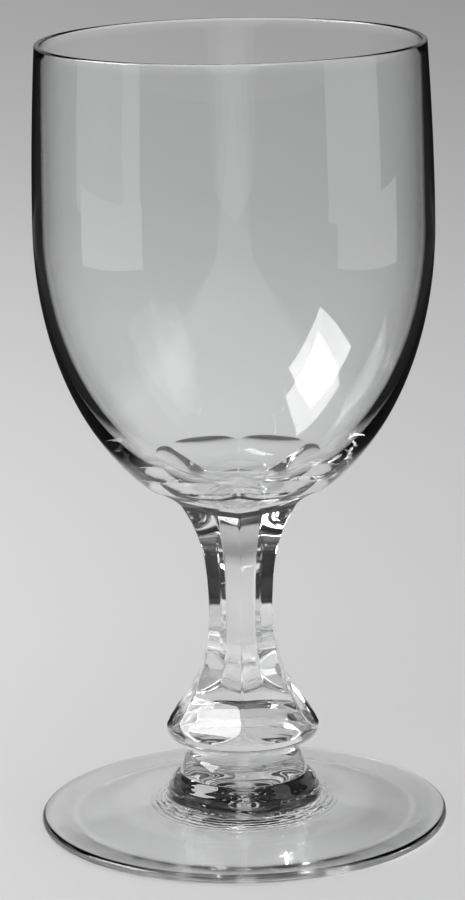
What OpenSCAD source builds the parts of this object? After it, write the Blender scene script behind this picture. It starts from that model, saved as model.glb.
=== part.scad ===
// Water goblet in clear glass, in millimetres.
// A deep round bowl stands on a six-sided stem that swells into a knop. The stem's six
// sides flare out under the bowl and end there in a ring of shallow scallops.
// A flattened glass button, the merese, joins the stem to the disc foot.
// The axis is Z and the foot rests on Z = 0. An arris of the stem faces -Y.

/* [Foot] */
// Outer radius of the foot
foot_r = 42; // [37:0.5:47]
// Thickness of the rounded edge of the foot
foot_edge_t = 1.9; // [1.5:0.1:2.6]
// Height of the flat top of the foot, where the merese sits
foot_h = 4.8; // [4.2:0.1:6.5]
// Radius at which the top of the foot starts to slope away
foot_seat_r = 16.3; // [16:0.1:19]
// Width of the flat ring that the foot rests on
foot_rest_w = 6.5; // [4:0.5:12]
// Height of the hollow under the foot, at its middle
foot_hollow_h = 2.4; // [1.6:0.1:3]

/* [Merese] */
// Height of the merese
merese_h = 5.6; // [4.6:0.1:7]
// Widest radius of the merese, where it meets the foot
merese_r = 16; // [15:0.1:16]

/* [Stem] */
// Height of the stem, from the merese to the bowl
stem_h = 57.8; // [52:0.5:66]
// Radius of the neck's bead where it meets the merese
neck_bead_r = 13.2; // [12.6:0.1:13.7]
// Radius of the neck at its narrowest, on top of the bead
neck_r = 11.45; // [10.8:0.05:11.9]
// Height of the neck's narrowest ring
neck_h = 4; // [3.5:0.1:4.5]
// Widest radius of the knop
knop_r = 15.7; // [15:0.1:17]
// Height of the knop's widest ring
knop_wide_h = 9.7; // [9.3:0.1:10.6]
// Radius of the knop's shoulder curve
knop_shoulder_r = 6.5; // [5.5:0.1:8]
// Distance across two flats of the stem at its waist
waist_af = 13.06; // [11.5:0.1:15]
// Height of the waist
waist_h = 34.6; // [31:0.2:38]
// Distance across two flats of the stem where it meets the bowl
stem_top_af = 23.4; // [21.4:0.1:23.5]

/* [Bowl] */
// Height of the bowl above its joint with the stem
bowl_h = 93.3; // [84:0.5:104]
// Widest outer radius of the bowl
bowl_r = 40.3; // [39.6:0.1:44]
// Height of the widest ring above the joint
bowl_wide_h = 56.2; // [50:0.2:60]
// Outer radius of the rim
rim_r = 38.95; // [37:0.05:39.5]
// Outer radius of the bowl's curve where it meets the stem
bowl_base_r = 13.6; // [13.6:0.1:14.8]
// Thickness of the rim
rim_t = 1.1; // [0.9:0.05:1.4]
// Thickness of the wall at the widest ring
wall_t = 1.9; // [1.5:0.05:2.4]
// Thickness of the glass under the inside of the bowl, above the joint
floor_t = 2; // [1.6:0.1:4]
// Radius out to which the cuts under the bowl reach
bowl_cut_r = 19.8; // [18.8:0.1:22]

/* [Hidden] */
$fn = 96;

// Places where the pieces meet, from the table up
merese_z = foot_h;
stem_z = merese_z + merese_h;
bowl_z = stem_z + stem_h;

// The stem has six sides, and so has the joint with the bowl
sides = 6;
side_angle = 360 / sides;
corner_share = 1 / cos(side_angle / 2);

// One overrun serves all cuts
overrun = 1;

// How full the curves are: 2 is an ellipse, and more is squarer
bowl_curve_share = 2.03;
lip_curve_share = 1.75;
foot_slope_share = 1.3;

// Glass is pale and see-through
glass = [0.86, 0.9, 0.92, 0.45];

// Point at share t of a curve with end points a and d and handles b and c
function bend(a, b, c, d, t) =
    pow(1 - t, 3) * a + 3 * t * pow(1 - t, 2) * b
    + 3 * t * t * (1 - t) * c + pow(t, 3) * d;

// Points of that curve in a number of equal steps
function bend_points(a, b, c, d, steps) =
    [for (i = [0 : steps]) bend(a, b, c, d, i / steps)];

// Points of a quarter ellipse about c, from angle a1 to angle a2
function oval_points(c, rx, ry, a1, a2, steps) =
    [for (i = [0 : steps]) let (a = a1 + (a2 - a1) * i / steps)
        c + [rx * cos(a), ry * sin(a)]];

// Foot

foot_edge_r = foot_edge_t / 2;
foot_rest_r = foot_r - foot_edge_r;
foot_hollow_r = foot_rest_r - foot_rest_w;
foot_slope_steps = 24;
foot_hollow_steps = 10;

// Height of the foot's top at a share of the way in from its edge
function foot_top(share) =
    foot_edge_t + (foot_h - foot_edge_t) * pow(share, foot_slope_share);

module foot() {
    slope_w = foot_rest_r - foot_seat_r;
    hollow = [for (i = [0 : foot_hollow_steps]) let (s = i / foot_hollow_steps)
        [foot_hollow_r * s, foot_hollow_h * (1 - s * s)]];
    top = [for (i = [0 : foot_slope_steps])
        let (s = i / foot_slope_steps) [foot_rest_r - slope_w * s, foot_top(s)]];
    color(glass)
    rotate_extrude() {
        polygon(concat(hollow, [[foot_rest_r, 0]], top, [[0, foot_h]]));
        translate([foot_rest_r, foot_edge_r])
            circle(r = foot_edge_r);
    }
}

// Merese

merese_steps = 24;
// Angle up the merese's oval side at which it is as narrow as the bead on top of it,
// and the height at which the oval would close on the axis
merese_end_angle = acos(neck_bead_r / merese_r);
merese_dome_h = merese_h / sin(merese_end_angle);

module merese() {
    side = oval_points([0, 0], merese_r, merese_dome_h, 0, merese_end_angle,
        merese_steps);
    color(glass)
    translate([0, 0, merese_z])
        rotate_extrude()
            polygon(concat([[0, 0]], side, [[0, merese_h]]));
}

// Stem

waist_r = waist_af / 2;
stem_top_r = stem_top_af / 2;
// Plain round body of the stem before its sides are cut, clear of every corner
blank_top_r = stem_top_r * corner_share + overrun;
neck_steps = 10;
knop_steps = 12;
side_steps = 28;

// Handles of the bead's curve, as shares of its height and of how far it draws in
bead_low_share = [0.16, 0.33];
bead_high_share = [0.5, 0.72];

// Where the knop's underside leaves the neck and where it turns into the edge,
// as shares of the way out and up from the neck to the knop's widest ring
under_share = [0.11, 0.48];
edge_share = [0.83, 0.68];
// Handles of the edge's curve: on from the underside, as a share of its length, and
// down from the widest ring, as a share of the way up to it
edge_handle_share = [0.2, 0.14];
edge_steps = 4;
// Angle at which the shoulder leaves the knop's round edge
knop_shoulder_angle = 38;

// Handles of the sides' centre line: above the knop, below and above the waist,
// and below the bowl, as shares of the widths and heights between those places
knop_handle_share = [0.6, 0.2];
waist_handle_share = [0.45, 0.54];
bowl_handle_share = [0.64, 0.25];

// Lower and upper halves of one side's centre line, from the knop to the bowl
function side_lower() =
    let (rise = waist_h - knop_wide_h, width = knop_r - waist_r)
    bend_points([knop_r, knop_wide_h],
        [knop_r - knop_handle_share.x * width, knop_wide_h + knop_handle_share.y * rise],
        [waist_r, waist_h - waist_handle_share.x * rise],
        [waist_r, waist_h], side_steps);

function side_upper() =
    let (rise = stem_h - waist_h, width = stem_top_r - waist_r)
    bend_points([waist_r, waist_h],
        [waist_r, waist_h + waist_handle_share.y * rise],
        [stem_top_r - bowl_handle_share.x * width, stem_h - bowl_handle_share.y * rise],
        [stem_top_r, stem_h], side_steps);

module stem_blank() {
    draw = neck_bead_r - neck_r;
    bead = bend_points([neck_bead_r, 0],
        [neck_bead_r - bead_low_share.x * draw, bead_low_share.y * neck_h],
        [neck_bead_r - bead_high_share.x * draw, bead_high_share.y * neck_h],
        [neck_r, neck_h], neck_steps);
    shoulder = oval_points([knop_r - knop_shoulder_r, knop_wide_h], knop_shoulder_r,
        knop_shoulder_r, 0, knop_shoulder_angle, knop_steps);
    reach = [knop_r - neck_r, knop_wide_h - neck_h];
    neck = [neck_r, neck_h];
    under = neck + [reach.x * under_share.x, reach.y * under_share.y];
    edge = neck + [reach.x * edge_share.x, reach.y * edge_share.y];
    turn = bend_points(edge, edge + edge_handle_share.x * (edge - under),
        [knop_r, knop_wide_h - edge_handle_share.y * reach.y],
        [knop_r, knop_wide_h], edge_steps);
    rotate_extrude()
        polygon(concat([[0, 0]], bead, [under], [for (i = [0 : edge_steps - 1]) turn[i]],
            shoulder, [[blank_top_r, stem_h], [0, stem_h]]));
}

// Everything outside one flat side, as a bar that runs along the side
module side_cut(outline, far_r) {
    rotate([90, 0, 0])
        linear_extrude(height = 4 * far_r, center = true)
            polygon(concat(outline, [[far_r, outline[len(outline) - 1][1]],
                [far_r, outline[0][1]]]));
}

module stem() {
    side = concat(side_lower(), [for (i = [1 : side_steps]) side_upper()[i]],
        [[stem_top_r, stem_h + overrun]]);
    color(glass)
    translate([0, 0, stem_z])
        difference() {
            stem_blank();
            for (i = [0 : sides - 1])
                rotate([0, 0, i * side_angle])
                    side_cut(side, knop_r + blank_top_r);
        }
}

// Bowl

bowl_steps = 40;
lip_steps = 14;
cut_steps = 20;
// Handles of a cut's centre line at the joint and at its outer end, as shares of how
// far it reaches and rises
cut_joint_share = [0.2, 0.44];
cut_end_share = [0.4, 0.02];
lip_r = rim_t / 2;
lip_h = bowl_h - lip_r;
// Depth below the widest ring at which each curve would close on the axis
bowl_depth = bowl_wide_h
    / pow(1 - pow(bowl_base_r / bowl_r, bowl_curve_share), 1 / bowl_curve_share);
inner_depth = bowl_wide_h - floor_t;
// Angle along the outer curve at which it reaches the joint
bowl_end_angle = asin(pow(bowl_wide_h / bowl_depth, bowl_curve_share / 2));

// Lower curve of the bowl from angle a1 to a2, where 0 is the widest ring
function cup_points(r, depth, a1, a2) =
    [for (i = [0 : bowl_steps]) let (a = a1 + (a2 - a1) * i / bowl_steps)
        [r * pow(cos(a), 2 / bowl_curve_share),
         bowl_wide_h - depth * pow(sin(a), 2 / bowl_curve_share)]];

// Upper curve of the bowl, from just above the widest ring to the lip
function lip_points(r, top_r) =
    [for (i = [1 : lip_steps]) let (s = i / lip_steps)
        [r - (r - top_r) * pow(s, lip_curve_share),
         bowl_wide_h + (lip_h - bowl_wide_h) * s]];

function reversed(list) = [for (i = [len(list) - 1 : -1 : 0]) list[i]];

module bowl_shell() {
    outer = concat(cup_points(bowl_r, bowl_depth, bowl_end_angle, 0),
        lip_points(bowl_r, rim_r));
    inner = concat(cup_points(bowl_r - wall_t, inner_depth, 90, 0),
        lip_points(bowl_r - wall_t, rim_r - rim_t));
    rotate_extrude() {
        polygon(concat([[0, 0]], outer, reversed(inner)));
        translate([rim_r - lip_r, lip_h])
            circle(r = lip_r);
    }
}

// Height of the bowl's outer curve at radius r
function bowl_under(r) = bowl_wide_h - bowl_depth
    * pow(1 - pow(r / bowl_r, bowl_curve_share), 1 / bowl_curve_share);

// Centre line of one cut: it goes on from the stem's side and flares out level
function cut_line() =
    let (width = bowl_cut_r - stem_top_r, rise = bowl_under(bowl_cut_r))
    bend_points([stem_top_r, 0],
        [stem_top_r + cut_joint_share.x * width, cut_joint_share.y * rise],
        [bowl_cut_r - cut_end_share.x * width, (1 - cut_end_share.y) * rise],
        [bowl_cut_r, rise], cut_steps);

module bowl() {
    far_r = bowl_r + overrun;
    color(glass)
    translate([0, 0, bowl_z])
        difference() {
            bowl_shell();
            for (i = [0 : sides - 1])
                rotate([0, 0, i * side_angle])
                    side_cut(concat([[stem_top_r, -overrun]], cut_line()), far_r);
        }
}

bowl();
stem();
merese();
foot();
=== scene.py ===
import math

import bpy
import numpy as np
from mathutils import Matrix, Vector


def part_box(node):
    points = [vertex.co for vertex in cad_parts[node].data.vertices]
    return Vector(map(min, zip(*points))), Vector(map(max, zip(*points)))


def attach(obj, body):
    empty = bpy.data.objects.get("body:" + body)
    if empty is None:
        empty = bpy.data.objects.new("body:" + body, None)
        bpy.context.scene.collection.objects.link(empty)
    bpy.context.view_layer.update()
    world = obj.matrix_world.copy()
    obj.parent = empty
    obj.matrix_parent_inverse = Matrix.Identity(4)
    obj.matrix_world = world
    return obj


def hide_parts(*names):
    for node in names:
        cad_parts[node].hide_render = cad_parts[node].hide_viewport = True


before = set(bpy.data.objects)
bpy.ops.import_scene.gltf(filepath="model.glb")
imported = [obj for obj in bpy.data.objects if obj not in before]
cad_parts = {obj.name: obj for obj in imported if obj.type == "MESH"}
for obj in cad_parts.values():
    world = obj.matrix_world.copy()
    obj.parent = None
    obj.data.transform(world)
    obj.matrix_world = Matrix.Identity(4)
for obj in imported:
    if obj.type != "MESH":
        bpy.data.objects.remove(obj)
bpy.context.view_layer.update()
scene = bpy.context.scene
mm = 0.001

# Foot
# The foot is a disc of clear glass, pressed and fire-polished while hot. Its edge is round,
# its top climbs to a flat seat in the middle, and underneath it is slightly hollow, so that
# it stands on a flat ring near its edge.

foot_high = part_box("foot")[1]
foot_r = foot_high.x
foot_h = foot_high.z
foot_edge_t = 1.9 * mm
foot_seat_r = 16.3 * mm
foot_rest_w = 6.5 * mm
foot_hollow_h = 2.4 * mm
foot_slope_share = 1.3
merese_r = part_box("merese")[1].x

side_count = 6
columns_on_a_side = 60
sharp_edge_angle = 35


def column_angles():
    """Angles of the columns of every piece: evenly spread over each side of the stem,
    but drawn in towards the corners by a sine, so that each corner gets fine columns."""
    across = np.arange(columns_on_a_side) / columns_on_a_side * 2 - 1
    half_side = math.pi / side_count
    within = half_side * np.sin(across * math.pi / 2)
    starts = np.arange(side_count) * 2 * half_side
    return (starts[:, None] + within[None, :]).ravel()


angles = column_angles()


def skin(name, radius, height, clear_rows=()):
    """A closed surface of rows and columns. Row i, column j lies at radius[i, j] and
    height[i, j] in the direction of column j. The first and last rows shrink to one point
    on the axis. The rows run so that faces point outwards. Rows named in clear_rows take
    the second material, of a fused joint."""
    rows = radius.shape[0]
    cols = len(angles)
    x = radius[1:-1] * np.cos(angles)
    y = radius[1:-1] * np.sin(angles)
    z = np.broadcast_to(height[1:-1], x.shape)
    ring_points = np.stack([x, y, z], -1).reshape(-1, 3)
    poles = np.array([[0, 0, height[0].mean()], [0, 0, height[-1].mean()]])
    points = np.concatenate([ring_points, poles])
    lower, upper = len(points) - 2, len(points) - 1
    j = np.arange(cols)
    k = (j + 1) % cols
    i = np.arange(rows - 3)[:, None] * cols
    quads = np.stack([i + j, i + k, i + cols + k, i + cols + j], -1).reshape(-1, 4)
    top = (rows - 3) * cols
    first = np.stack([np.full(cols, lower), k, j], -1)
    last = np.stack([np.full(cols, upper), top + j, top + k], -1)
    mesh = bpy.data.meshes.new(name)
    mesh.from_pydata(points, [], first.tolist() + quads.tolist() + last.tolist())
    row_of_face = np.concatenate([np.zeros(cols), np.repeat(np.arange(1, rows - 2), cols),
                                  np.full(cols, rows - 2)])
    slots = np.isin(row_of_face, list(clear_rows)).astype(np.int32)
    mesh.polygons.foreach_set("material_index", slots)
    mesh.polygons.foreach_set("use_smooth", np.ones(len(slots), bool))
    mesh.set_sharp_from_angle(angle=math.radians(sharp_edge_angle))
    mesh.update()
    piece = bpy.data.objects.new(name, mesh)
    scene.collection.objects.link(piece)
    return piece


def turned(profile):
    """Radius and height of each row of a round piece, from a list of (radius, height)
    points, the same in every column."""
    profile = np.array(profile, float)
    wide = np.ones((1, len(angles)))
    return profile[:, :1] * wide, profile[:, 1:] * wide


def oval(centre, across, up, start, end, steps):
    """Points of an ellipse about centre, from one angle to another in degrees."""
    a = np.radians(np.linspace(start, end, steps))
    return np.stack([centre[0] + across * np.cos(a), centre[1] + up * np.sin(a)], 1)


def line(a, b, steps):
    """Points from a to b in equal steps, both ends included."""
    share = np.linspace(0, 1, steps)[:, None]
    return np.array(a) + (np.array(b) - np.array(a)) * share


def bare_material(name):
    """A material with no nodes in it yet, and its node tree."""
    material = bpy.data.materials.new(name)
    material.use_nodes = True
    material.node_tree.nodes.clear()
    return material, material.node_tree


def between(tree, value, low, high, at_low=0.0, at_high=1.0, soft=True):
    """An output that runs from at_low to at_high while the value runs from low to high. A
    soft one eases in and out."""
    node = tree.nodes.new("ShaderNodeMapRange")
    node.interpolation_type = "SMOOTHSTEP" if soft else "LINEAR"
    node.inputs["From Min"].default_value = low
    node.inputs["From Max"].default_value = high
    node.inputs["To Min"].default_value = at_low
    node.inputs["To Max"].default_value = at_high
    tree.links.new(value, node.inputs["Value"])
    return node.outputs["Result"]


def maths(tree, operation, a, b):
    """One sum on an output and a number or another output."""
    node = tree.nodes.new("ShaderNodeMath")
    node.operation = operation
    tree.links.new(a, node.inputs[0])
    if isinstance(b, float):
        node.inputs[1].default_value = b
    else:
        tree.links.new(b, node.inputs[1])
    return node.outputs["Value"]


def tool_marks(tree, place, normal, kind, gap, depth, wander, squeeze, whole_r, end_r):
    """Bump of the wandering rings that tools leave on turning hot glass, a gap apart. They
    are whole out to whole_r from the axis and have faded out at end_r."""
    add = tree.nodes.new
    link = tree.links.new
    squeezed = add("ShaderNodeMapping")
    squeezed.inputs["Scale"].default_value = (squeeze, squeeze, 1)
    link(place, squeezed.inputs["Vector"])
    rings = add("ShaderNodeTexWave")
    rings.wave_type = kind
    rings.bands_direction = "Z"
    rings.rings_direction = "Z"
    rings.inputs["Scale"].default_value = math.pi / 10 / gap
    rings.inputs["Distortion"].default_value = wander
    rings.inputs["Detail"].default_value = 2
    rings.inputs["Detail Scale"].default_value = 1
    link(squeezed.outputs["Vector"], rings.inputs["Vector"])
    flat = add("ShaderNodeVectorMath")
    flat.operation = "MULTIPLY"
    flat.inputs[1].default_value = (1, 1, 0)
    link(place, flat.inputs[0])
    out = add("ShaderNodeVectorMath")
    out.operation = "LENGTH"
    link(flat.outputs["Vector"], out.inputs[0])
    fade = between(tree, out.outputs["Value"], whole_r, end_r, 1.0, 0.0, soft=False)
    bump = add("ShaderNodeBump")
    bump.inputs["Distance"].default_value = depth
    link(maths(tree, "MULTIPLY", rings.outputs["Fac"], fade), bump.inputs["Height"])
    link(normal, bump.inputs["Normal"])
    return bump.outputs["Normal"]


glass_tint = (0.985, 0.99, 0.99, 1)
glass_ior = 1.53
scratch_turn = (0.4, 0.9, 0.3)
scratch_stretch = 14
scratch_scale = 90
scratch_cover = (0.66, 0.74)
shadow_face = (0.97, 0.97, 0.97, 1)
shadow_edge = (0.4, 0.4, 0.4, 1)
shadow_edge_power = 4.0


def glass_material(name, wave_size, wave_depth, scratches, marks=None):
    """Clear lead glass: smooth, with faint waves left by the heat, which bend what is seen
    through it, and fine hairline scratches from use with a little haze in them. Its shadow
    is pale, and darker where the glass is seen edge on."""
    material, tree = bare_material(name)
    add = tree.nodes.new
    link = tree.links.new
    place = add("ShaderNodeTexCoord").outputs["Object"]

    waves = add("ShaderNodeTexNoise")
    waves.inputs["Scale"].default_value = 1 / wave_size
    waves.inputs["Detail"].default_value = 1.5
    link(place, waves.inputs["Vector"])
    wave_bump = add("ShaderNodeBump")
    wave_bump.inputs["Distance"].default_value = wave_depth
    wave_bump.inputs["Strength"].default_value = 1
    link(waves.outputs["Fac"], wave_bump.inputs["Height"])
    normal = wave_bump.outputs["Normal"]
    if marks:
        normal = tool_marks(tree, place, normal, **marks)

    stretched = add("ShaderNodeMapping")
    stretched.inputs["Rotation"].default_value = scratch_turn
    stretched.inputs["Scale"].default_value = (1, scratch_stretch, scratch_stretch)
    link(place, stretched.inputs["Vector"])
    hairs = add("ShaderNodeTexNoise")
    hairs.inputs["Scale"].default_value = scratch_scale
    hairs.inputs["Detail"].default_value = 4
    link(stretched.outputs["Vector"], hairs.inputs["Vector"])
    rough = between(tree, hairs.outputs["Fac"], *scratch_cover, 0.0, scratches, soft=False)

    body = add("ShaderNodeBsdfPrincipled")
    body.inputs["Base Color"].default_value = glass_tint
    body.inputs["IOR"].default_value = glass_ior
    body.inputs["Transmission Weight"].default_value = 1
    link(rough, body.inputs["Roughness"])
    link(normal, body.inputs["Normal"])

    slant = add("ShaderNodeLayerWeight")
    slant.inputs["Blend"].default_value = 0.5
    let_through = add("ShaderNodeMix")
    let_through.data_type = "RGBA"
    let_through.inputs["A"].default_value = shadow_face
    let_through.inputs["B"].default_value = shadow_edge
    edge_on = maths(tree, "POWER", slant.outputs["Facing"], shadow_edge_power)
    link(edge_on, let_through.inputs["Factor"])
    path = add("ShaderNodeLightPath")
    passing = add("ShaderNodeBsdfTransparent")
    link(let_through.outputs["Result"], passing.inputs["Color"])
    shade = add("ShaderNodeMixShader")
    link(path.outputs["Is Shadow Ray"], shade.inputs["Fac"])
    link(body.outputs["BSDF"], shade.inputs[1])
    link(passing.outputs["BSDF"], shade.inputs[2])
    output = add("ShaderNodeOutputMaterial")
    link(shade.outputs["Shader"], output.inputs["Surface"])
    return material


def joint_material():
    """The inside of a fused joint, where glass meets glass and light goes straight on."""
    material, tree = bare_material("fused_joint")
    through = tree.nodes.new("ShaderNodeBsdfTransparent")
    output = tree.nodes.new("ShaderNodeOutputMaterial")
    tree.links.new(through.outputs["BSDF"], output.inputs["Surface"])
    return material


fused = joint_material()
seat_marks = dict(kind="RINGS", gap=1.1 * mm, depth=0.05 * mm, wander=4, squeeze=1,
                  whole_r=16 * mm, end_r=20 * mm)
foot_glass = glass_material("foot_glass", wave_size=9 * mm, wave_depth=0.035 * mm,
                            scratches=0.05, marks=seat_marks)


def foot_profile():
    """Outline of the foot from the middle of its hollow, out under the edge, round it by
    half a circle, and up a nearly straight slope to the flat seat."""
    edge = foot_edge_t / 2
    rest_out = foot_r - edge
    rest_in = rest_out - foot_rest_w
    out = np.linspace(0, rest_in, 24)
    hollow = np.stack([out, foot_hollow_h * (1 - (out / rest_in) ** 2)], 1)
    ring = line((rest_in, 0), (rest_out, 0), 6)[1:]
    bend = oval((rest_out, edge), edge, edge, -90, 90, 25)[1:]
    inward = np.linspace(0, 1, 70)[1:]
    rise = foot_edge_t + (foot_h - foot_edge_t) * inward ** foot_slope_share
    slope = np.stack([rest_out - (rest_out - foot_seat_r) * inward, rise], 1)
    seat = line((foot_seat_r, foot_h), (merese_r, foot_h), 4)[1:]
    under_merese = line((merese_r, foot_h), (0, foot_h), 5)[1:]
    outline = np.concatenate([hollow, ring, bend, slope, seat, under_merese])
    return outline, range(len(outline) - len(under_merese) - 1, len(outline))


outline, joint_rows = foot_profile()
foot = skin("foot_disc", *turned(outline), clear_rows=joint_rows)
foot.data.materials.append(foot_glass)
foot.data.materials.append(fused)
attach(foot, "root")
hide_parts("foot")

# Merese
# The merese is a button of hot glass pressed between the foot and the stem, which fuses
# them. It is a low dome, widest where it meets the foot, with rings left by the tool.

merese_low, merese_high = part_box("merese")
neck_bead_r = 13.2 * mm


def merese_profile():
    """Outline of the merese: flat underneath, up an arc of an oval about the axis until it
    is as narrow as the neck's bead, and flat on top."""
    end = math.acos(neck_bead_r / merese_r)
    dome_h = (merese_high.z - merese_low.z) / math.sin(end)
    under = line((0, merese_low.z), (merese_r, merese_low.z), 5)
    side = oval((0, merese_low.z), merese_r, dome_h, 0, math.degrees(end), 60)
    top = line((neck_bead_r, merese_high.z), (0, merese_high.z), 5)
    outline = np.concatenate([under, side[1:], top[1:]])
    rows = len(outline)
    return outline, [*range(0, 4), *range(rows - 5, rows)]


outline, joint_rows = merese_profile()
merese = skin("merese_button", *turned(outline), clear_rows=joint_rows)
press_marks = dict(kind="BANDS", gap=2.2 * mm, depth=0.14 * mm, wander=5, squeeze=0.35,
                   whole_r=20 * mm, end_r=30 * mm)
merese_glass = glass_material("merese_glass", wave_size=6 * mm, wave_depth=0.02 * mm,
                              scratches=0.01, marks=press_marks)
merese.data.materials.append(merese_glass)
merese.data.materials.append(fused)
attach(merese, "root")
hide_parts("merese")

# Stem
# The stem is one gather of glass: a neck with a bead, a round knop, and a six-sided shaft
# whose flats were cut and polished hollow from the knop's shoulder up to the bowl.

stem_low, stem_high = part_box("stem")
stem_z = stem_low.z
stem_h = stem_high.z - stem_low.z
neck_r = 11.45 * mm
neck_h = 4.0 * mm
bead_low_share = (0.16, 0.33)
bead_high_share = (0.5, 0.72)
knop_r = 15.7 * mm
knop_wide_h = 9.7 * mm
knop_shoulder_r = 6.5 * mm
knop_shoulder_angle = 38
waist_r = 6.53 * mm
waist_h = 34.6 * mm
stem_top_r = 11.7 * mm
under_share = (0.11, 0.48)
edge_share = (0.83, 0.68)
edge_handle_share = (0.2, 0.14)
knop_handle_share = (0.6, 0.2)
waist_handle_share = (0.45, 0.54)
bowl_handle_share = (0.64, 0.25)
corner_power = 70
shoulder_softness = 0.35 * mm
blank_spare = 1 * mm
fine_rows_h = 16 * mm


def gauge():
    """How far each column reaches into a six-sided outline: a high power mean of the six
    sides' cosines, which leaves the corners slightly round. A radius times this is the
    distance to the nearest flat."""
    turns = np.arange(side_count) * 2 * math.pi / side_count
    cosines = np.clip(np.cos(angles[None, :] - turns[:, None]), 0, None)
    return (cosines ** corner_power).sum(0) ** (1 / corner_power)


reach = gauge()


def bend(a, b, c, d, steps):
    """Points of a cubic curve from a to d with handles b and c."""
    t = np.linspace(0, 1, steps)[:, None]
    a, b, c, d = (np.array(p, float) for p in (a, b, c, d))
    return ((1 - t) ** 3 * a + 3 * t * (1 - t) ** 2 * b
            + 3 * t ** 2 * (1 - t) * c + t ** 3 * d)


def soft_least(a, b, width):
    """The smaller of two values, with the corner between them rounded over a width."""
    near = np.clip(width - np.abs(a - b), 0, None) / width
    return np.minimum(a, b) - near ** 2 * width / 4


def side_line():
    """Centre line of one flat, as (distance from the axis, height), from the knop's widest
    ring to the waist and on to the bowl."""
    rise = waist_h - knop_wide_h
    width = knop_r - waist_r
    lower = bend((knop_r, knop_wide_h),
                 (knop_r - knop_handle_share[0] * width,
                  knop_wide_h + knop_handle_share[1] * rise),
                 (waist_r, waist_h - waist_handle_share[0] * rise),
                 (waist_r, waist_h), 60)
    rise = stem_h - waist_h
    width = stem_top_r - waist_r
    upper = bend((waist_r, waist_h),
                 (waist_r, waist_h + waist_handle_share[1] * rise),
                 (stem_top_r - bowl_handle_share[0] * width,
                  stem_h - bowl_handle_share[1] * rise),
                 (stem_top_r, stem_h), 60)
    return np.concatenate([lower, upper[1:]])


def stem_rows():
    """Radius and height grids of the stem. Below the knop's widest ring the rows are round.
    Above it each row is the smaller of the six flats and the round blank, which runs from
    the knop's shoulder up to a little more than the stem's top."""
    draw = neck_bead_r - neck_r
    bead = bend((neck_bead_r, 0),
                (neck_bead_r - bead_low_share[0] * draw, bead_low_share[1] * neck_h),
                (neck_bead_r - bead_high_share[0] * draw, bead_high_share[1] * neck_h),
                (neck_r, neck_h), 24)
    gap = np.array([knop_r - neck_r, knop_wide_h - neck_h])
    neck = np.array([neck_r, neck_h])
    under = neck + gap * under_share
    edge = neck + gap * edge_share
    round_part = np.concatenate([
        line((0, 0), (neck_bead_r, 0), 5),
        bead[1:],
        line(neck, under, 6)[1:],
        line(under, edge, 14)[1:],
        bend(edge, edge + (edge - under) * edge_handle_share[0],
             (knop_r, knop_wide_h - gap[1] * edge_handle_share[1]),
             (knop_r, knop_wide_h), 10)[1:],
    ])
    flat = side_line()
    heights = np.concatenate([np.linspace(knop_wide_h, fine_rows_h, 40),
                              np.linspace(fine_rows_h, stem_h, 110)[1:]])
    apothem = np.interp(heights, flat[:, 1], flat[:, 0])
    turn = math.radians(knop_shoulder_angle)
    end_r = knop_r - knop_shoulder_r * (1 - math.cos(turn))
    end_h = knop_wide_h + knop_shoulder_r * math.sin(turn)
    up = np.clip((heights - knop_wide_h) / knop_shoulder_r, 0, math.sin(turn))
    shoulder = knop_r - knop_shoulder_r * (1 - np.sqrt(1 - up ** 2))
    above = np.clip((heights - end_h) / (stem_h - end_h), 0, 1)
    blank_top_r = stem_top_r / math.cos(math.pi / side_count) + blank_spare
    blank = shoulder - above * (end_r - blank_top_r)
    flats = apothem[:, None] / reach[None, :]
    upper = soft_least(flats, blank[:, None] + 0 * flats, shoulder_softness)
    upper[0] = knop_r
    top = (1 - np.linspace(0, 1, 5)[1:, None]) * (stem_top_r / reach)[None, :]
    upper[-1] = stem_top_r / reach
    radius = np.concatenate([turned(round_part)[0], upper[1:], top])
    level = np.concatenate([round_part[:, 1], heights[1:], np.full(len(top), stem_h)])
    rows = len(radius)
    height = (stem_z + level)[:, None] * np.ones_like(radius)
    return radius, height, [*range(0, 4), *range(rows - 5, rows)]


radius, height, joint_rows = stem_rows()
stem = skin("stem_shaft", radius, height, clear_rows=joint_rows)
stem_glass = glass_material("stem_glass", wave_size=9 * mm, wave_depth=0.02 * mm,
                            scratches=0.01)
stem.data.materials.append(stem_glass)
stem.data.materials.append(fused)
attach(stem, "root")
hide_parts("stem")

# Bowl
# The bowl is blown in a mould, so its wall is even and thin at the rim and heavier at the
# bottom. Six flats are cut under it in line with the stem's, and their tops make scallops.

bowl_low, bowl_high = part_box("bowl")
bowl_z = bowl_low.z
bowl_h = bowl_high.z - bowl_low.z
bowl_r = bowl_high.x
bowl_wide_h = 56.2 * mm
rim_r = 38.95 * mm
bowl_base_r = 13.6 * mm
rim_t = 1.1 * mm
wall_t = 1.9 * mm
floor_t = 2.0 * mm
bowl_cut_r = 19.8 * mm
cut_joint_share = (0.2, 0.44)
cut_end_share = (0.4, 0.02)
bowl_curve_share = 2.03
lip_curve_share = 1.75
cut_softness = 0.12 * mm
cut_rows_r = 24.5 * mm


def cup(r, depth, turn):
    """Points of the bowl's lower curve, a slightly full ellipse: at turn 0 the widest ring
    and at turn 90 the axis."""
    a = np.radians(turn)
    power = 2 / bowl_curve_share
    return np.stack([r * np.cos(a) ** power, bowl_wide_h - depth * np.sin(a) ** power], 1)


def lip(r, top_r, steps):
    """Points of the bowl's upper curve, from the widest ring in to the rim."""
    share = np.linspace(0, 1, steps)
    lip_h = bowl_h - rim_t / 2
    return np.stack([r - (r - top_r) * share ** lip_curve_share,
                     bowl_wide_h + (lip_h - bowl_wide_h) * share], 1)


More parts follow.
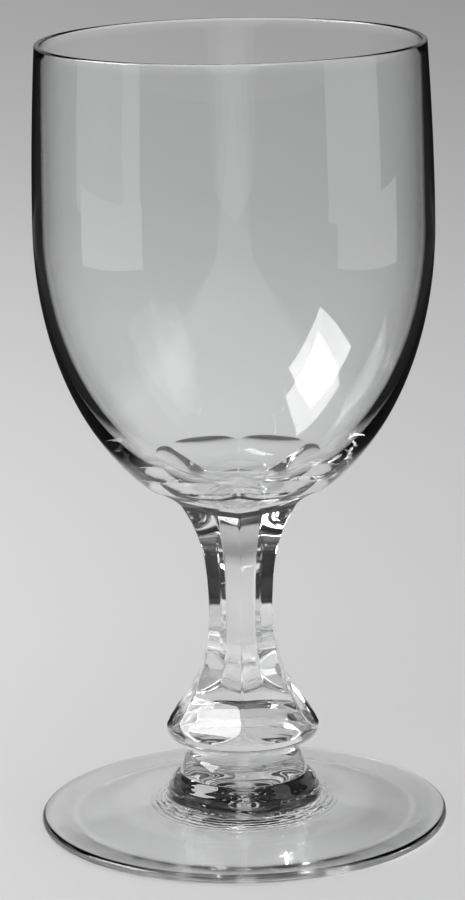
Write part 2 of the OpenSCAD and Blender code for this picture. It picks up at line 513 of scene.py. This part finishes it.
def cut_line(end_h):
    """Centre line of one cut, as (distance from the axis, height): it goes on from the
    stem's flat and flares out until it is level."""
    wide = bowl_cut_r - stem_top_r
    return bend((stem_top_r, 0),
                (stem_top_r + cut_joint_share[0] * wide, cut_joint_share[1] * end_h),
                (bowl_cut_r - cut_end_share[0] * wide, (1 - cut_end_share[1]) * end_h),
                (bowl_cut_r, end_h), 60)


def bowl_rows():
    """Radius and height grids of the bowl. Under the bowl the surface is the higher of the
    round curve and the six cuts, and above that it is round."""
    power = bowl_curve_share
    depth = bowl_wide_h / (1 - (bowl_base_r / bowl_r) ** power) ** (1 / power)

    def under(r):
        """Height of the round curve at a distance from the axis."""
        return bowl_wide_h - depth * (1 - (r / bowl_r) ** power) ** (1 / power)

    start = stem_top_r / reach
    out = np.linspace(0, 1, 80)[:, None]
    radius = start + (cut_rows_r - start) * out
    curve = under(radius)
    cut = np.interp(radius * reach, *cut_line(under(bowl_cut_r)).T)
    level = -soft_least(-curve, -cut, cut_softness)
    level[0] = 0
    joint = np.linspace(0, 1, 5)[:-1, None] * start
    first_turn = math.degrees(math.acos((cut_rows_r / bowl_r) ** (power / 2)))
    outer = cup(bowl_r, depth, np.linspace(first_turn, 0, 50))[1:]
    outer = np.concatenate([outer, lip(bowl_r, rim_r, 22)[1:]])
    edge = oval((rim_r - rim_t / 2, bowl_h - rim_t / 2), rim_t / 2, rim_t / 2, 0, 180, 13)
    inner_r = bowl_r - wall_t
    inner = np.concatenate([
        lip(inner_r, rim_r - rim_t, 22)[::-1][1:],
        cup(inner_r, bowl_wide_h - floor_t, np.linspace(0, 90, 60))[1:]])
    rest = np.concatenate([outer, edge[1:], inner])
    r_rest, h_rest = turned(rest)
    radius = np.concatenate([joint, radius, r_rest])
    level = np.concatenate([0 * joint, level, h_rest])
    return radius, level + bowl_z, range(0, 4)


radius, height, joint_rows = bowl_rows()
bowl = skin("bowl_cup", radius, height, clear_rows=joint_rows)
bowl_glass = glass_material("bowl_glass", wave_size=18 * mm, wave_depth=0.015 * mm,
                            scratches=0.02)
bowl.data.materials.append(bowl_glass)
bowl.data.materials.append(fused)
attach(bowl, "root")
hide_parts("bowl")

# Table
# A wide pale board, its grey painted to fall with distance from the goblet and a little
# from left to right, as painted falloff of the light. Dark boards that lie at both sides of
# the goblet show only in the glass, which takes its dark edges from them.

table_r = 6.0
table_drop = 0.05 * mm
table_corners = 96
grey_range = 3.0
# Painted falloff of the light: the table's grey at each distance from the goblet, in metres
painted_falloff_at = [(0.0, 0.55), (0.15, 0.6), (0.39, 0.615), (0.81, 0.605), (1.56, 0.575),
           (grey_range, 0.5)]
# Painted falloff of the light from left to right, lighter on the left towards the large
# soft box
painted_tilt_reach = 0.5
painted_tilt_gain = 0.3
dark_behind_y = (0.0, 0.04)
dark_behind_x = (0.06, 0.085)
dark_side_x = (0.12, 0.14)
dark_colour = (0.02, 0.02, 0.02, 1)


def table_mesh():
    """A flat round board about the goblet's axis."""
    turns = np.linspace(0, 2 * math.pi, table_corners + 1)[:-1]
    edge = np.stack([table_r * np.cos(turns), table_r * np.sin(turns),
                     np.full_like(turns, -table_drop)], 1)
    mesh = bpy.data.meshes.new("table_top")
    mesh.from_pydata(edge, [], [list(range(len(edge)))])
    return mesh


def table_material():
    """Matt pale board. Its grey falls with distance from the goblet, and a little from left
    to right: painted falloff of the light. Mirrored rays find the dark boards at both
    sides, which come closer in behind the goblet."""
    material, tree = bare_material("pale_table")
    add = tree.nodes.new
    link = tree.links.new
    place = add("ShaderNodeTexCoord").outputs["Object"]
    length = add("ShaderNodeVectorMath")
    length.operation = "LENGTH"
    link(place, length.inputs[0])
    # Painted falloff of the light with distance from the goblet
    ramp = add("ShaderNodeValToRGB")
    ramp.color_ramp.interpolation = "B_SPLINE"
    for far, _ in painted_falloff_at[1:-1]:
        ramp.color_ramp.elements.new(far / grey_range)
    for element, (far, grey) in zip(ramp.color_ramp.elements, painted_falloff_at):
        element.position = far / grey_range
        element.color = (grey, grey, grey, 1)
    link(maths(tree, "DIVIDE", length.outputs["Value"], grey_range), ramp.inputs["Fac"])
    parts = add("ShaderNodeSeparateXYZ")
    link(place, parts.inputs["Vector"])
    # Painted falloff of the light from left to right
    tilt = between(tree, parts.outputs["X"], -painted_tilt_reach, painted_tilt_reach,
                   1 + painted_tilt_gain, 1 - painted_tilt_gain, soft=False)
    shaded = add("ShaderNodeVectorMath")
    shaded.operation = "SCALE"
    link(ramp.outputs["Color"], shaded.inputs[0])
    link(tilt, shaded.inputs["Scale"])
    path = add("ShaderNodeLightPath")
    mirrored = maths(tree, "MINIMUM", path.outputs["Glossy Depth"], 1.0)
    aside = maths(tree, "ABSOLUTE", parts.outputs["X"], 0.0)
    behind = between(tree, parts.outputs["Y"], *dark_behind_y)
    beside = maths(tree, "MULTIPLY", behind, between(tree, aside, *dark_behind_x))
    outside = maths(tree, "MAXIMUM", beside, between(tree, aside, *dark_side_x))
    dark_share = maths(tree, "MULTIPLY", mirrored, outside)
    colour = add("ShaderNodeMix")
    colour.data_type = "RGBA"
    colour.inputs["B"].default_value = dark_colour
    link(dark_share, colour.inputs["Factor"])
    link(shaded.outputs["Vector"], colour.inputs["A"])
    matt = add("ShaderNodeBsdfDiffuse")
    link(colour.outputs["Result"], matt.inputs["Color"])
    output = add("ShaderNodeOutputMaterial")
    link(matt.outputs["BSDF"], output.inputs["Surface"])
    return material


table = bpy.data.objects.new("table_top", table_mesh())
scene.collection.objects.link(table)
table.data.materials.append(table_material())

# Light
# Soft light from above and all round, a large soft box on the left and a smaller one on
# the right, and pale boards beside them that glass mirrors as faint patches.

backdrop_rise = (0.02, 0.2)
backdrop_light = (0.36, 0.56)
backdrop_top = (0.34, 0.4)
ceiling_rise = (0.7, 0.95)
ceiling_light = (0.015, 0.2)
side_slope = (0.04, 0.09)
side_light = 0.01
even_light = 0.72


def room_light():
    """The room, by the direction looked in, whose steepness is given as a sine. Low down is
    the pale backdrop, which ends at about twenty degrees, and above it the dark ceiling.
    Rays mirrored inside the glass see the backdrop only straight behind, and darkness
    beside it. For the table's own light the room is even and pale."""
    world = bpy.data.worlds.new("studio_room")
    scene.world = world
    world.use_nodes = True
    tree = world.node_tree
    tree.nodes.clear()
    add = tree.nodes.new
    link = tree.links.new

    def blend(share, a, b):
        """The mix of two values, each a number or an output."""
        node = add("ShaderNodeMix")
        node.data_type = "FLOAT"
        link(share, node.inputs["Factor"])
        for source, end in ((a, "A"), (b, "B")):
            if isinstance(source, float):
                node.inputs[end].default_value = source
            else:
                link(source, node.inputs[end])
        return node.outputs["Result"]

    place = add("ShaderNodeTexCoord")
    parts = add("ShaderNodeSeparateXYZ")
    link(place.outputs["Generated"], parts.inputs["Vector"])
    up = parts.outputs["Z"]
    backdrop = between(tree, up, *backdrop_rise, *backdrop_light)
    above = between(tree, up, *backdrop_top)
    ceiling = between(tree, up, *ceiling_rise, *ceiling_light)
    room = blend(above, backdrop, ceiling)
    sideways = maths(tree, "DIVIDE", maths(tree, "ABSOLUTE", parts.outputs["X"], 0.0),
                     maths(tree, "MAXIMUM", parts.outputs["Y"], 0.001))
    beside = between(tree, sideways, *side_slope)
    dark_room = blend(above, side_light, ceiling)
    path = add("ShaderNodeLightPath")
    inside = maths(tree, "MINIMUM", path.outputs["Glossy Depth"],
                   path.outputs["Transmission Depth"])
    mirrored = maths(tree, "MINIMUM", inside, 1.0)
    seen = blend(maths(tree, "MULTIPLY", mirrored, beside), room, dark_room)
    level = blend(path.outputs["Is Diffuse Ray"], seen, even_light)
    background = add("ShaderNodeBackground")
    link(level, background.inputs["Strength"])
    output = add("ShaderNodeOutputWorld")
    link(background.outputs["Background"], output.inputs["Surface"])


room_light()
aim_h = 0.08


def aim(azimuth, elevation, distance):
    """Place and turn of a light or board that faces the goblet from a compass direction, in
    degrees to the left of the camera's side."""
    a, e = math.radians(azimuth), math.radians(elevation)
    way = Vector((-math.sin(a) * math.cos(e), -math.cos(a) * math.cos(e), math.sin(e)))
    return way * distance + Vector((0, 0, aim_h)), way.to_track_quat("Z", "Y")


def board(name, azimuth, elevation, distance, wide, high, seen, through):
    """A bright board that only glass shows: its outer surface mirrors it, and where through
    is true the light inside the glass finds it too."""
    centre, turn = aim(azimuth, elevation, distance)
    corners = [centre + turn @ Vector((wide / 2 * i, high / 2 * j, 0))
               for i, j in ((-1, -1), (1, -1), (1, 1), (-1, 1))]
    mesh = bpy.data.meshes.new(name)
    mesh.from_pydata([tuple(c) for c in corners], [], [(0, 1, 2, 3)])
    panel = bpy.data.objects.new(name, mesh)
    scene.collection.objects.link(panel)
    material, tree = bare_material(name + "_glow")
    glow = tree.nodes.new("ShaderNodeEmission")
    glow.inputs["Strength"].default_value = seen
    output = tree.nodes.new("ShaderNodeOutputMaterial")
    tree.links.new(glow.outputs["Emission"], output.inputs["Surface"])
    mesh.materials.append(material)
    panel.visible_camera = False
    panel.visible_diffuse = False
    panel.visible_shadow = False
    panel.visible_transmission = through


def soft_box(name, azimuth, elevation, distance, wide, high, power, seen):
    """A soft box, and the bright board that glass shows in its place."""
    centre, turn = aim(azimuth, elevation, distance)
    lamp_data = bpy.data.lights.new(name, "AREA")
    lamp_data.shape = "RECTANGLE"
    lamp_data.size = wide
    lamp_data.size_y = high
    lamp_data.energy = power
    lamp = bpy.data.objects.new(name, lamp_data)
    lamp.location = centre
    lamp.rotation_euler = turn.to_euler()
    scene.collection.objects.link(lamp)
    lamp.visible_glossy = False
    lamp.visible_transmission = False
    lamp.visible_camera = False
    board(name + "_panel", azimuth, elevation, distance, wide, high, seen, through=True)


soft_box("left_box", azimuth=84, elevation=36, distance=0.9, wide=0.62, high=0.42,
         power=7, seen=10)
soft_box("right_box", azimuth=-75, elevation=35, distance=1.1, wide=0.5, high=0.6,
         power=2, seen=0.8)

# Each board's azimuth, elevation, distance, width, height and brightness
pale_boards = {
    "left_board": (75, 3, 0.9, 0.75, 0.25, 0.9),
    "left_strip": (72, -4.6, 0.55, 0.42, 0.07, 1.7),
    "left_front_board": (58, 3, 0.85, 0.16, 0.25, 1.6),
    "right_board": (-72, 3, 0.9, 0.6, 0.25, 1.3),
    "right_strip": (-80, -4.6, 0.5, 0.4, 0.07, 1.3),
}
for board_name, facts in pale_boards.items():
    board(board_name, *facts, through=False)

# Camera
# A long lens a little above the rim, looking down on the goblet. Light may cross many
# faces of glass before it is given up.

camera_back = 0.7086
camera_up = 0.2461
camera_pitch = 13.34
camera_roll = -1.05
camera_shift = -0.006
camera_focus = 3585
frame_high = 900

camera_data = bpy.data.cameras.new("camera")
camera_data.sensor_width = 36
camera_data.lens = camera_focus * camera_data.sensor_width / frame_high
camera_data.shift_x = camera_shift
camera = bpy.data.objects.new("camera", camera_data)
scene.collection.objects.link(camera)
camera.location = (0, -camera_back, camera_up)
camera.rotation_mode = "ZXY"
camera.rotation_euler = (math.radians(90 - camera_pitch), 0, math.radians(camera_roll))
scene.camera = camera

scene.view_settings.view_transform = "Standard"
scene.cycles.max_bounces = 32
scene.cycles.transmission_bounces = 32
scene.cycles.glossy_bounces = 16
scene.cycles.transparent_max_bounces = 32
